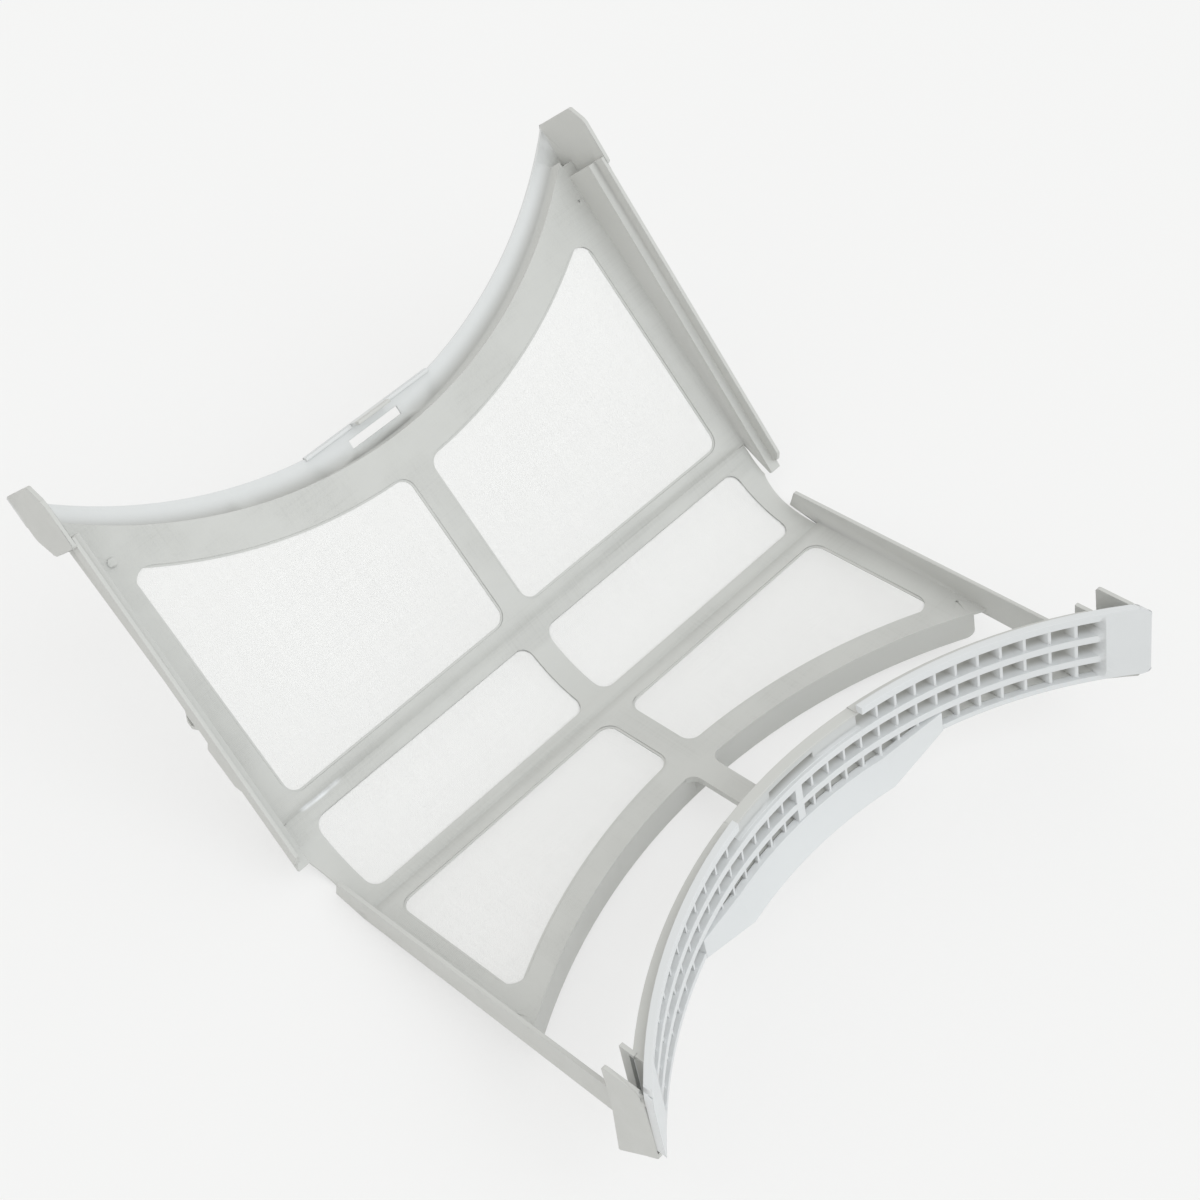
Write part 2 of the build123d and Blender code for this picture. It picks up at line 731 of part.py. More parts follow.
# Rear frame: sheet with two windows, stepped flange with latch, side rails and end plates
with BuildPart() as rear_frame:
    with BuildSketch(rear):
        with BuildLine():
            ThreePointArc((-rear_wall, step_corner), (0, step_depth), (rear_wall, step_corner))
            Line((rear_wall, step_corner), (rear_wall, step_edge))
            ThreePointArc((rear_wall, step_edge), (0, step_depth + wall), (-rear_wall, step_edge))
            Line((-rear_wall, step_edge), (-rear_wall, step_corner))
        make_face()
    extrude(amount=-flange_drop - wall)
    with BuildSketch(flange.offset(-flange_sheet)):
        with Locations((0, step_corner)):
            Rectangle(3 * rear_half_width, 2 * step_corner)
    extrude(amount=-flange_drop, mode=Mode.SUBTRACT)
    with BuildSketch(flange):
        with BuildLine():
            ThreePointArc((-rear_half_width, flange_root), (0, step_depth), (rear_half_width, flange_root))
            Line((rear_half_width, flange_root), (rear_half_width, flange_corner))
            ThreePointArc(
                (rear_half_width, flange_corner),
                (0, flange_depth),
                (-rear_half_width, flange_corner),
            )
            Line((-rear_half_width, flange_corner), (-rear_half_width, flange_root))
        make_face()
        with Locations((0, (flange_depth + hook_back + hook) / 2 - 1.0)):
            Rectangle(2 * latch_half, hook_back + hook - flange_depth + 2.0)
        with Locations((0, flange_depth - latch_hole)):
            Rectangle(2 * latch_hole_half, latch_hole, mode=Mode.SUBTRACT)
    extrude(amount=-flange_sheet)
    with BuildSketch(flange.offset(-flange_sheet)):
        with Locations((0, hook_back + hook / 2)):
            Rectangle(2 * hook_half, hook)
    extrude(amount=flange_sheet + hook_drop)
    with BuildSketch(rear):
        with BuildLine():
            Polyline(
                (-rear_wall, step_corner),
                (-rear_wall, -rear_seam),
                (rear_wall, -rear_seam),
                (rear_wall, step_corner),
            )
            ThreePointArc((rear_wall, step_corner), (0, step_depth), (-rear_wall, step_corner))
        make_face()
    extrude(amount=-sheet)
    with BuildSketch(rear):
        with BuildLine():
            Polyline(
                (rib_half, rear_rib_corner),
                (rib_half, 0),
                (rear_window_half, 0),
                (rear_window_half, rear_window_corner),
            )
            ThreePointArc(
                (rear_window_half, rear_window_corner),
                (rear_mid, rear_mid_y),
                (rib_half, rear_rib_corner),
            )
        make_face()
        fillet(vertices(), corner_radius)
        mirror(about=Plane.YZ)
    extrude(amount=-sheet, mode=Mode.SUBTRACT)
    with BuildSketch(rear.offset(cloth_top)):
        with BuildLine():
            Polyline(
                (-rear_cloth_half, rear_cloth_corner),
                (-rear_cloth_half, -cloth_margin),
                (rear_cloth_half, -cloth_margin),
                (rear_cloth_half, rear_cloth_corner),
            )
            ThreePointArc(
                (rear_cloth_half, rear_cloth_corner),
                (0, rear_window_axis - rear_cloth_radius),
                (-rear_cloth_half, rear_cloth_corner),
            )
        make_face()
    extrude(amount=-cloth, mode=Mode.SUBTRACT)
    with BuildSketch(rear):
        with Locations((rear_pinhole_x, rear_pinhole_y), (-rear_pinhole_x, rear_pinhole_y)):
            Circle(pinhole / 2)
    extrude(amount=-sheet, mode=Mode.SUBTRACT)
    with BuildSketch(rear):
        with Locations((boss_side - rear_wall, step_corner - boss_back)):
            Circle(boss_radius)
    extrude(amount=boss_height)
    for side in (rear_wall, -rear_wall - wall):
        with BuildSketch(rear_side.offset(side)):
            with BuildLine():
                Polyline(
                    (rear_rail_start, ledge_start - ledge_sheet),
                    (-rear_seam, -sheet),
                    (rear_rail_end, -sheet),
                    (rear_rail_end, ledge_stop),
                    (rear_rail_start, ledge_start),
                    close=True,
                )
            make_face()
        extrude(amount=wall)
    for side in (rear_wall, -rear_wall - ledge_width - lip):
        with BuildSketch(rear_side.offset(side)):
            with BuildLine():
                Polyline(
                    (rear_rail_start, ledge_start - ledge_sheet),
                    (rear_rail_end, ledge_stop - ledge_sheet),
                    (rear_rail_end, ledge_stop),
                    (rear_rail_start, ledge_start),
                    close=True,
                )
            make_face()
        extrude(amount=ledge_width + lip)
    for side in (rear_wall + ledge_width, -rear_wall - ledge_width - lip):
        with BuildSketch(rear_side.offset(side)):
            with BuildLine():
                Polyline(
                    (lip_start, ledge_start + taper * lip_inset - ledge_sheet),
                    (rear_rail_end, ledge_stop - ledge_sheet),
                    (rear_rail_end, ledge_stop + lip_height),
                    (lip_start + lip_height / 2, ledge_start + lip_rise),
                    (lip_start, ledge_start + taper * lip_inset + lip_height / 2),
                    close=True,
                )
            make_face()
            with BuildLine():
                Polyline(
                    (bulge_start, ledge_height + taper * bulge_start),
                    (bulge_start + bulge_drop, ledge_height - bulge_drop),
                    (bulge_end - bulge_drop, ledge_height - bulge_drop),
                    (bulge_end, ledge_height + taper * bulge_end),
                    close=True,
                )
            make_face()
            with BuildLine():
                Polyline(
                    (tab_start, ledge_height + taper * tab_start),
                    (tab_start + 1.5, ledge_height - tab_drop),
                    (tab_start + 5.0, ledge_height - tab_drop),
                    (tab_end, ledge_height + taper * tab_end),
                    close=True,
                )
            make_face()
            with BuildLine():
                Polyline(
                    (tab_start + 2.5, ledge_height + 0.8),
                    (tab_start + 3.3, ledge_height - tab_drop + 2.0),
                    (tab_start + 4.4, ledge_height - tab_drop + 2.0),
                    (tab_end - 2.2, ledge_height + 0.8),
                    close=True,
                )
            make_face(mode=Mode.SUBTRACT)
        extrude(amount=lip)
    with BuildSketch(rear):
        with Locations((corner_x, corner_y), (-corner_x, corner_y)):
            Rectangle(rear_half_width - rear_wall, step_corner - rear_rail_end + plate_lap)
    extrude(amount=-sheet)
    for side in (rear_half_width - rear_plate, -rear_half_width):
        with BuildSketch(rear_side.offset(side)):
            with BuildLine():
                Polyline(
                    (rear_rail_end - plate_lap, -sheet),
                    (step_corner, taper * step_corner - flange_drop - plate_hem),
                    (flange_corner, taper * flange_corner - flange_drop - plate_hem),
                    (flange_corner - plate_hem, ledge_stop + lip_height / 2),
                    (flange_corner - plate_shoulder, ledge_stop + lip_height + plate_crown),
                    (rear_rail_end - plate_lap, ledge_stop + lip_height),
                    close=True,
                )
            make_face()
        extrude(amount=rear_plate)
rear_frame.part.label = "rear_frame"
export_step(rear_frame.part, "parts/rear_frame.step")

# Rear cloth: one fine mesh held in the middle of the rear sheet
with BuildPart() as rear_mesh:
    with BuildSketch(rear.offset(cloth_top)):
        with BuildLine():
            Polyline(
                (-rear_cloth_half, rear_cloth_corner),
                (-rear_cloth_half, -cloth_margin),
                (rear_cloth_half, -cloth_margin),
                (rear_cloth_half, rear_cloth_corner),
            )
            ThreePointArc(
                (rear_cloth_half, rear_cloth_corner),
                (0, rear_window_axis - rear_cloth_radius),
                (-rear_cloth_half, rear_cloth_corner),
            )
        make_face()
    extrude(amount=-cloth)
rear_mesh.part.label = "rear_mesh"
export_step(rear_mesh.part, "parts/rear_mesh.step")
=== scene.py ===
from math import cos, hypot, pi, radians, sin, sqrt

import bmesh
import bpy
from mathutils import Matrix, Vector
from mathutils.bvhtree import BVHTree


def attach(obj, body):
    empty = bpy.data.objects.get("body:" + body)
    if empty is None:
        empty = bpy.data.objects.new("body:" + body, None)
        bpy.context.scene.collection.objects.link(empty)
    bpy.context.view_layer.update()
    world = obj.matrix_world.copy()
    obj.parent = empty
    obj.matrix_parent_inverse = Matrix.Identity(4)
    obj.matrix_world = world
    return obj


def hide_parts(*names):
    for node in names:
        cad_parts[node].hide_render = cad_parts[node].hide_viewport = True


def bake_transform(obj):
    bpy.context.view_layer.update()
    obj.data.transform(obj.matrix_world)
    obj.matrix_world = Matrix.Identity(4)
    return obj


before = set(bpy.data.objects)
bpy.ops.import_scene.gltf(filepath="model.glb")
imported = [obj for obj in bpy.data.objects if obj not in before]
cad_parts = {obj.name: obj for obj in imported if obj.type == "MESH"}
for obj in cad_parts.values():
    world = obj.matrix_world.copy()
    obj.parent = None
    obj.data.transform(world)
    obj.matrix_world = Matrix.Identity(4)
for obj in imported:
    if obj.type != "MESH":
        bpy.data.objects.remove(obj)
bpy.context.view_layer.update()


# Front frame: the flat half, with two windows, an arc bar on a deep wall, two side rails and the
# curved backing of the grille. It is one injection moulding in light warm grey polypropylene,
# shot round the edge of its cloth, and every edge leaves the mould a little rounded.
front_lean = radians(12.326864)
rear_rise = radians(40.233136)
front_origin = (0, -0.01395571, 0.00415055)
rear_origin = (0, 0.047458, 0.02233)
front_place = Matrix.Translation(front_origin) @ Matrix.Rotation(-front_lean, 4, "X")
rear_place = Matrix.Translation(rear_origin) @ Matrix.Rotation(rear_rise, 4, "X")
front_seam = 0.0068
rear_seam = -0.0068
seam_slack = 0.0002
seam_depth = 0.004
grille_axis = -0.3251
grille_seam = 0.2180
grille_slack = 0.0004
grille_end = 0.1535
stitch = 0.000004
edge_round = 0.00028
edge_steps = 2
corner_steps = 4
shortest_edge = 0.0011
crisp_edge = radians(24)
shaded_edge = radians(50)


def at_seam(spot):
    """True where the strip runs into the halves and where the grille's ends meet the backing."""
    ahead, behind = front_place.inverted() @ spot, rear_place.inverted() @ spot
    off_axis = hypot(ahead.x, ahead.y - grille_axis)
    if abs(spot.x) > grille_end and abs(off_axis - grille_seam) < grille_slack:
        return True
    return any(
        abs(place.y - seam) < seam_slack and abs(place.z) < seam_depth
        for place, seam in ((ahead, front_seam), (behind, rear_seam))
    )


def round_edges(form, edges, radius, steps, clamp=False, slide=False):
    bmesh.ops.bevel(
        form, geom=edges, offset=radius, offset_type="OFFSET", affect="EDGES", segments=steps,
        profile=0.5, material=-1, clamp_overlap=clamp, loop_slide=slide,
    )


def moulded_piece(name, node, body, corners=None, details=()):
    """A moulding with the shape of its CAD node, its edges rounded as they come out of the mould.

    corners gives the radius of a plate's corner edge, or nought; details are small forms moulded on.
    """
    form = bmesh.new()
    form.from_mesh(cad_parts[node].data)
    bmesh.ops.remove_doubles(form, verts=form.verts, dist=stitch)
    bmesh.ops.dissolve_degenerate(form, edges=form.edges, dist=stitch)
    skin = BVHTree.FromBMesh(form)
    for radius in sorted({corners(e) for e in form.edges}) if corners else ():
        if radius:
            chosen = [e for e in form.edges if corners(e) == radius]
            round_edges(form, chosen, radius, corner_steps, slide=True)
    sharp = [
        e for e in form.edges
        if e.is_manifold and e.is_convex and e.calc_face_angle() > crisp_edge
        and e.calc_length() > shortest_edge and not all(at_seam(v.co) for v in e.verts)
    ]
    round_edges(form, sharp, edge_round, edge_steps, slide=True)
    for corner in form.verts:
        spot, normal, index, off = skin.find_nearest(corner.co)
        if off > edge_round:
            corner.co = spot
    for detail in details:
        bmesh.ops.recalc_face_normals(detail, faces=detail.faces)
        part = bpy.data.meshes.new("detail")
        detail.to_mesh(part)
        detail.free()
        form.from_mesh(part)
    for face in form.faces:
        face.smooth = True
    mesh = bpy.data.meshes.new(name)
    form.to_mesh(mesh)
    form.free()
    mesh.set_sharp_from_angle(angle=shaded_edge)
    piece = bpy.data.objects.new(name, mesh)
    bpy.context.scene.collection.objects.link(piece)
    even = piece.modifiers.new("even shading", "WEIGHTED_NORMAL")
    even.keep_sharp = True
    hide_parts(node)
    if body:
        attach(piece, body)
    return piece


def fill(tree, socket, term):
    """Sets a socket to a plain number or colour, or links it to another node's output."""
    if isinstance(term, bpy.types.NodeSocket):
        tree.links.new(term, socket)
    else:
        socket.default_value = term


def reckon(tree, operation, *terms):
    """A sum on surface values; each term is a number or another node's output."""
    node = tree.nodes.new("ShaderNodeMath")
    node.operation = operation
    for socket, term in zip(node.inputs, terms):
        fill(tree, socket, term)
    return node.outputs[0]


def product(tree, first, *others):
    for other in others:
        first = reckon(tree, "MULTIPLY", first, other)
    return first


def soft_step(tree, value, none, full):
    """Nought where the value is at none, one where it is at full, and smooth between."""
    node = tree.nodes.new("ShaderNodeMapRange")
    node.interpolation_type = "SMOOTHSTEP"
    node.inputs["From Min"].default_value = none
    node.inputs["From Max"].default_value = full
    tree.links.new(value, node.inputs["Value"])
    return node.outputs["Result"]


def uneven(tree, place, scale, detail, roughness=0.5):
    """A cloudy mask over the surface."""
    node = tree.nodes.new("ShaderNodeTexNoise")
    node.inputs["Scale"].default_value = scale
    node.inputs["Detail"].default_value = detail
    node.inputs["Roughness"].default_value = roughness
    tree.links.new(place, node.inputs["Vector"])
    return node.outputs["Fac"]


def stretched(tree, place, size):
    node = tree.nodes.new("ShaderNodeMapping")
    node.inputs["Scale"].default_value = size
    tree.links.new(place, node.inputs["Vector"])
    return node.outputs["Vector"]


def in_half(tree, origin, turn):
    """Where a spot of the surface lies in the own place of a half: across, along and up."""
    where = tree.nodes.new("ShaderNodeTexCoord")
    node = tree.nodes.new("ShaderNodeMapping")
    node.vector_type = "TEXTURE"
    node.inputs["Location"].default_value = origin
    node.inputs["Rotation"].default_value = (turn, 0, 0)
    tree.links.new(where.outputs["Object"], node.inputs["Vector"])
    return node.outputs["Vector"]


def apart(tree, place):
    node = tree.nodes.new("ShaderNodeSeparateXYZ")
    tree.links.new(place, node.inputs[0])
    return node.outputs[:]


def from_middle(tree, side, along, middle):
    """The distance from the middle of an arc that lies on the centre line."""
    run = reckon(tree, "SUBTRACT", along, middle)
    square = reckon(tree, "MULTIPLY_ADD", run, run, product(tree, side, side))
    return reckon(tree, "SQRT", square)


def toned(tree, factor, under, over):
    """One colour laid over another; each is a plain colour or another node's output."""
    node = tree.nodes.new("ShaderNodeMix")
    node.data_type = "RGBA"
    tree.links.new(factor, node.inputs["Factor"])
    fill(tree, node.inputs["A"], under)
    fill(tree, node.inputs["B"], over)
    return node.outputs["Result"]


def surface_group(name, takes, gives):
    """A shader node group with named inputs and outputs."""
    group = bpy.data.node_groups.new(name, "ShaderNodeTree")
    for way, sockets in (("INPUT", takes), ("OUTPUT", gives)):
        for label, kind in sockets.items():
            group.interface.new_socket(label, in_out=way, socket_type="NodeSocket" + kind)
    return group, group.nodes.new("NodeGroupInput").outputs, group.nodes.new("NodeGroupOutput").inputs


def laid_on(tree, group, values):
    """Places a group in a material with the material's own values."""
    node = tree.nodes.new("ShaderNodeGroup")
    node.node_tree = group
    for label, term in values.items():
        fill(tree, node.inputs[label], term)
    return node.outputs


yarns_per_metre = 1750.0
yarn_edge = 0.19
yarn_core = 0.13
yarn_roundness = 27.0


def plain_weave():
    """Round yarns that pass over and under each other, with open meshes between them."""
    group, given, put = surface_group(
        "plain weave", {"Place": "Vector", "Yarns per metre": "Float"}, {"Yarn": "Float", "Height": "Float"}
    )
    across, along, up = apart(group, given["Place"])
    across = product(group, across, given["Yarns per metre"])
    along = product(group, along, given["Yarns per metre"])

    def yarn(side, way, turn):
        off = reckon(group, "PINGPONG", side, 0.5)
        round_top = reckon(group, "SUBTRACT", 1.0, product(group, off, off, yarn_roundness))
        seen = soft_step(group, off, yarn_edge, yarn_core)
        number = reckon(group, "COSINE", product(group, reckon(group, "ROUND", side), pi))
        wave = product(group, reckon(group, "COSINE", product(group, way, pi)), number)
        lift = reckon(group, "MULTIPLY_ADD", wave, 0.5 * turn, 0.6)
        return seen, product(group, reckon(group, "MULTIPLY_ADD", round_top, 0.7, lift), seen)

    warp, warp_height = yarn(across, along, 1)
    weft, weft_height = yarn(along, across, -1)
    group.links.new(reckon(group, "MAXIMUM", warp, weft), put["Yarn"])
    group.links.new(reckon(group, "MAXIMUM", warp_height, weft_height), put["Height"])
    return group


def yarn_streaks():
    """Faint light and dark lines along warp and weft, where the yarns are a little uneven."""
    group, given, put = surface_group("yarn streaks", {"Place": "Vector"}, {"Streak": "Float"})
    lines = [
        uneven(group, stretched(group, given["Place"], size), scale=1.0, detail=2.0)
        for size in ((900.0, 9.0, 0.0), (9.0, 900.0, 0.0))
    ]
    group.links.new(reckon(group, "SUBTRACT", reckon(group, "ADD", *lines), 1.0), put["Streak"])
    return group


def sheet_marks():
    """A half's thin sheet: a soft groove along its fold and, in patches, the print of the cloth."""
    group, given, put = surface_group(
        "sheet marks",
        {"Place": "Vector", "Seam": "Float", "Yarn height": "Float", "Yarn streak": "Float"},
        {"Groove": "Float", "Print": "Float", "Lines": "Float"},
    )
    across, along, up = apart(group, given["Place"])
    off = reckon(group, "ABSOLUTE", reckon(group, "SUBTRACT", along, given["Seam"]))
    level = reckon(group, "ABSOLUTE", up)
    groove = product(group, soft_step(group, off, 0.0040, 0.0), soft_step(group, level, 0.0036, 0.0020))
    patches = soft_step(group, uneven(group, given["Place"], scale=24.0, detail=3.0), 0.36, 0.60)
    held = product(group, patches, soft_step(group, level, 0.0004, 0.0002))
    group.links.new(groove, put["Groove"])
    group.links.new(product(group, held, given["Yarn height"]), put["Print"])
    group.links.new(product(group, held, given["Yarn streak"]), put["Lines"])
    return group


def moulding_marks():
    """Satin moulded plastic: spark-eroded grain, faint flow clouds and rubbed patches."""
    group, given, put = surface_group(
        "moulding marks",
        {"Tone": "Color", "Cloud tone": "Color", "Smooth": "Float", "Dull": "Float"},
        {"Colour": "Color", "Roughness": "Float", "Grain": "Float"},
    )
    place = group.nodes.new("ShaderNodeTexCoord").outputs["Object"]
    flow = stretched(group, place, (9.0, 26.0, 26.0))
    clouds = uneven(group, flow, scale=1.0, detail=4.0, roughness=0.55)
    group.links.new(toned(group, clouds, given["Tone"], given["Cloud tone"]), put["Colour"])
    gloss = group.nodes.new("ShaderNodeMapRange")
    gloss.inputs["From Min"].default_value = 0.3
    gloss.inputs["From Max"].default_value = 0.7
    group.links.new(uneven(group, place, scale=140.0, detail=3.0), gloss.inputs["Value"])
    group.links.new(given["Smooth"], gloss.inputs["To Min"])
    group.links.new(given["Dull"], gloss.inputs["To Max"])
    group.links.new(gloss.outputs["Result"], put["Roughness"])
    group.links.new(uneven(group, place, scale=3200.0, detail=2.0), put["Grain"])
    return group


weave = plain_weave()
streaks = yarn_streaks()
sheet_print = sheet_marks()
moulding = moulding_marks()
grain_depth = 0.000007
groove_depth = 0.00035
print_depth = 0.000026
groove_shade = 0.34
line_shade = 0.8
groove_shade_and_print_tone = (0.43, 0.435, 0.415, 1.0)
flange_middle = 0.3335
flange_painted_light = 0.72
painted_light_tone = (0.74, 0.755, 0.765, 1.0)
crease_highlight_strength = 0.8
crease_highlight_tone = (0.88, 0.90, 0.93, 1.0)


def moulded_plastic(name, tone, cloud_tone):
    """A satin plastic in two close tones, and its colour and relief for further marks."""
    material = bpy.data.materials.new(name)
    material.use_nodes = True
    tree = material.node_tree
    shader = tree.nodes["Principled BSDF"]
    shader.inputs["IOR"].default_value = 1.49
    marks = laid_on(tree, moulding, {"Tone": tone, "Cloud tone": cloud_tone, "Smooth": 0.40, "Dull": 0.52})
    tree.links.new(marks["Roughness"], shader.inputs["Roughness"])
    return material, marks["Colour"], reckon(tree, "MULTIPLY", marks["Grain"], grain_depth)


def finish_plastic(material, colour, height):
    """Brings the finished colour and relief to the plastic's shader; height is in metres."""
    tree = material.node_tree
    shader = tree.nodes["Principled BSDF"]
    relief = tree.nodes.new("ShaderNodeBump")
    relief.inputs["Distance"].default_value = 1.0
    tree.links.new(height, relief.inputs["Height"])
    tree.links.new(relief.outputs["Normal"], shader.inputs["Normal"])
    tree.links.new(colour, shader.inputs["Base Color"])


frame_plastic, colour, height = moulded_plastic(
    "frame plastic", (0.545, 0.550, 0.530, 1.0), (0.585, 0.590, 0.572, 1.0)
)
tree = frame_plastic.node_tree
front_spot = in_half(tree, front_origin, -front_lean)
rear_spot = in_half(tree, rear_origin, rear_rise)
dim = 0.0
for place, seam in ((front_spot, front_seam), (rear_spot, rear_seam)):
    yarns = laid_on(tree, weave, {"Place": place, "Yarns per metre": yarns_per_metre})
    lines = laid_on(tree, streaks, {"Place": place})
    marks = laid_on(tree, sheet_print, {
        "Place": place, "Seam": seam, "Yarn height": yarns["Height"], "Yarn streak": lines["Streak"],
    })
    height = reckon(tree, "MULTIPLY_ADD", marks["Print"], print_depth, height)
    height = reckon(tree, "MULTIPLY_ADD", marks["Groove"], -groove_depth, height)
    # Painted shade: the fold groove is painted darker. The cloth's print lines darken the sheet as a real
    # print.
    dim = reckon(tree, "MULTIPLY_ADD", marks["Groove"], groove_shade, dim)
    dim = reckon(tree, "MULTIPLY_ADD", marks["Lines"], line_shade, dim)
colour = toned(tree, dim, colour, groove_shade_and_print_tone)

# Painted light: the rear flange is painted paler and bluish, most away from the step, and the left end of
# the rear fold has painted highlights.
across, along, up = apart(tree, rear_spot)
# Painted light and sheen on the flange, lightest away from the step.
flange_reach = soft_step(tree, from_middle(tree, across, along, flange_middle), 0.2370, 0.2285)
on_flange = product(tree, soft_step(tree, up, -0.0060, -0.0085), flange_reach)
colour = toned(tree, product(tree, on_flange, flange_painted_light), colour, painted_light_tone)
# Painted highlights: pale bluish streaks along the left end of the rear fold.
off_fold = reckon(tree, "ABSOLUTE", reckon(tree, "SUBTRACT", along, rear_seam))
crease_highlights = product(
    tree, soft_step(tree, off_fold, 0.0016, 0.0004),
    soft_step(tree, uneven(tree, rear_spot, scale=55.0, detail=1.0), 0.46, 0.58),
    soft_step(tree, across, -0.085, -0.115),
    soft_step(tree, reckon(tree, "ABSOLUTE", up), 0.0030, 0.0020),
)
colour = toned(tree, product(tree, crease_highlights, crease_highlight_strength), colour, crease_highlight_tone)
finish_plastic(frame_plastic, colour, height)


def closed_outline(form, first, spots):
    """Leads from the end of an arc over a few corners back to its start, and fills the outline."""
    form.verts.ensure_lookup_table()
    last = form.verts[-1]
    corners = [form.verts.new(spot) for spot in spots]
    for one, other in zip([last] + corners, corners + [first]):
        form.edges.new((one, other))
    bmesh.ops.contextual_create(form, geom=form.edges[:])
    return corners


def thicken(form, thickness, top):
    """Gives a flat outline its thickness, with the upper face at the given level."""
    bmesh.ops.solidify(form, geom=form.faces[:], thickness=thickness)
    high = max(v.co.z for v in form.verts)
    bmesh.ops.translate(form, verts=form.verts, vec=(0, 0, top - high))


def settled(form, place):
    """The form and its mirror image on the other side, brought to where they belong."""
    bmesh.ops.mirror(
        form, geom=form.verts[:] + form.edges[:] + form.faces[:], matrix=Matrix.Identity(4),
        merge_dist=0, axis="X",
    )
    bmesh.ops.transform(form, matrix=place, verts=form.verts)
    return form


rib_half = 0.006
window_corner = 0.007
window_corner_steps = 8
window_arc_steps = 24
corner_room = 1.3
rim_in_sheet = 0.0003
rim_width = 0.0013
rim_drop = 0.00045
rim_thickness = 0.0007


def window_rim(place, outer_side, edge, arc_middle, arc_radius):
    """The thin step that holds the cloth round a pair of windows, sunk below the sheet's top."""
    turn = -1 if arc_middle < edge else 1
    inner, outer = rib_half - rim_in_sheet, outer_side + rim_in_sheet
    edge, arc_radius = edge - turn * rim_in_sheet, arc_radius - rim_in_sheet

    def reach(side):
        return sqrt(arc_radius**2 - side**2)

    def on_arc(side):
        return side, arc_middle - turn * reach(side), 0

    form = bmesh.new()
    near, far = inner + corner_room * window_corner, outer - corner_room * window_corner
    first = form.verts.new(on_arc(near))
    bmesh.ops.spin(
        form, geom=[first], cent=(0, arc_middle, 0), axis=(0, 0, turn),
        angle=Vector((near, reach(near))).angle(Vector((far, reach(far)))), steps=window_arc_steps,
    )
    corners = closed_outline(
        form, first, (on_arc(outer), (outer, edge, 0), (inner, edge, 0), on_arc(inner))
    )
    bmesh.ops.bevel(
        form, geom=corners, offset=window_corner, offset_type="OFFSET", affect="VERTICES",
        segments=window_corner_steps, profile=0.5, material=-1, clamp_overlap=False,
    )
    ring = bmesh.ops.inset_region(
        form, faces=form.faces[:], thickness=rim_width, use_boundary=True, use_even_offset=True
    )["faces"]
    bmesh.ops.delete(form, geom=[f for f in form.faces if f not in ring], context="FACES")
    thicken(form, rim_thickness, -rim_drop)
    return settled(form, place)


front_arc_middle = -0.3145
front_rim = window_rim(
    front_place, outer_side=0.135, edge=0.0, arc_middle=front_arc_middle, arc_radius=0.275
)

# The bridge runs into the arc bar with rounded corners.
bridge_round = 0.005
bridge_depth = 0.0036
bridge_lap = 0.0003
bridge_drop = 0.00002
bar_radius = 0.2633
bar_edge = front_arc_middle + sqrt(bar_radius**2 - rib_half**2)
bridge_corners = bmesh.new()
first = bridge_corners.verts.new((rib_half, bar_edge - bridge_round, 0))
bmesh.ops.spin(
    bridge_corners, geom=[first], cent=(rib_half + bridge_round, bar_edge - bridge_round, 0),
    axis=(0, 0, -1), angle=pi / 2, steps=8,
)
closed_outline(bridge_corners, first, (
    (rib_half + bridge_round, bar_edge + bridge_lap, 0), (rib_half - bridge_lap, bar_edge + bridge_lap, 0),
    (rib_half - bridge_lap, bar_edge - bridge_round, 0),
))
thicken(bridge_corners, bridge_depth, -bridge_drop)
settled(bridge_corners, front_place)

pinhole_round = 0.0009
pinhole_skin = 0.0004
pinhole_depth = 0.0012


def pinhole_floor(side, along, place):
    """The holes of the mould's locating pins are blind: a thin skin closes them near the underside."""
    form = bmesh.new()
    bmesh.ops.create_cone(
        form, cap_ends=True, segments=16, radius1=pinhole_round, radius2=pinhole_round,
        depth=pinhole_skin, matrix=Matrix.Translation((side, along, -pinhole_depth)),
    )
    return settled(form, place)


# The end plates' feet run on under the backing, up to the fascia.
foot_inside, foot_outside = 0.1522, 0.15399
foot_front, foot_back = -0.1708, -0.1640
foot_top, foot_front_under, foot_back_under = 0.0030, -0.00065, -0.0055
foot_round = 0.0012
plate_feet = bmesh.new()
bmesh.ops.create_cube(plate_feet, size=1.0)
for corner in plate_feet.verts:
    ahead = corner.co.y < 0
    under = foot_front_under if ahead else foot_back_under
    corner.co = (
        foot_outside if corner.co.x > 0 else foot_inside,
        foot_front if ahead else foot_back,
        foot_top if corner.co.z > 0 else under,
    )
toes = [e for e in plate_feet.edges if all(v.co.y < -0.170 and v.co.z < 0 for v in e.verts)]
round_edges(plate_feet, toes, foot_round, corner_steps)
settled(plate_feet, front_place)


def across_plate(edge, place, thinnest, thickest):
    """The middle of an edge that crosses a thin plate at an outer corner, in the half's own place."""
    if not (edge.is_manifold and edge.is_convex and edge.calc_face_angle() > radians(25)):
        return None
    if not thinnest < edge.calc_length() < thickest:
        return None
    return place.inverted() @ ((edge.verts[0].co + edge.verts[1].co) / 2)


def sideways(edge):
    return abs((edge.verts[0].co - edge.verts[1].co).x) > 0.0016


def front_corner(edge):
    """End plates have small round corners, and the arc wall's ends larger ones at their feet."""
    spot = across_plate(edge, front_place, 0.0017, 0.0027)
    if spot and abs(spot.x) > 0.139 and abs(spot.z + 0.015) < 0.0005 and spot.y > -0.11:
        return 0.004
    if spot and abs(spot.x) > 0.1455 and spot.y < -0.118 and sideways(edge):
        at_foot = spot.y < -0.160 and spot.z < 0
        return 0 if at_foot else 0.002
    return 0


front_frame = moulded_piece(
    "front_frame_moulding", "front_frame", "front_half", front_corner,
    (front_rim, bridge_corners, plate_feet, pinhole_floor(0.1423, -0.0794, front_place)),
)
front_frame.data.materials.append(frame_plastic)
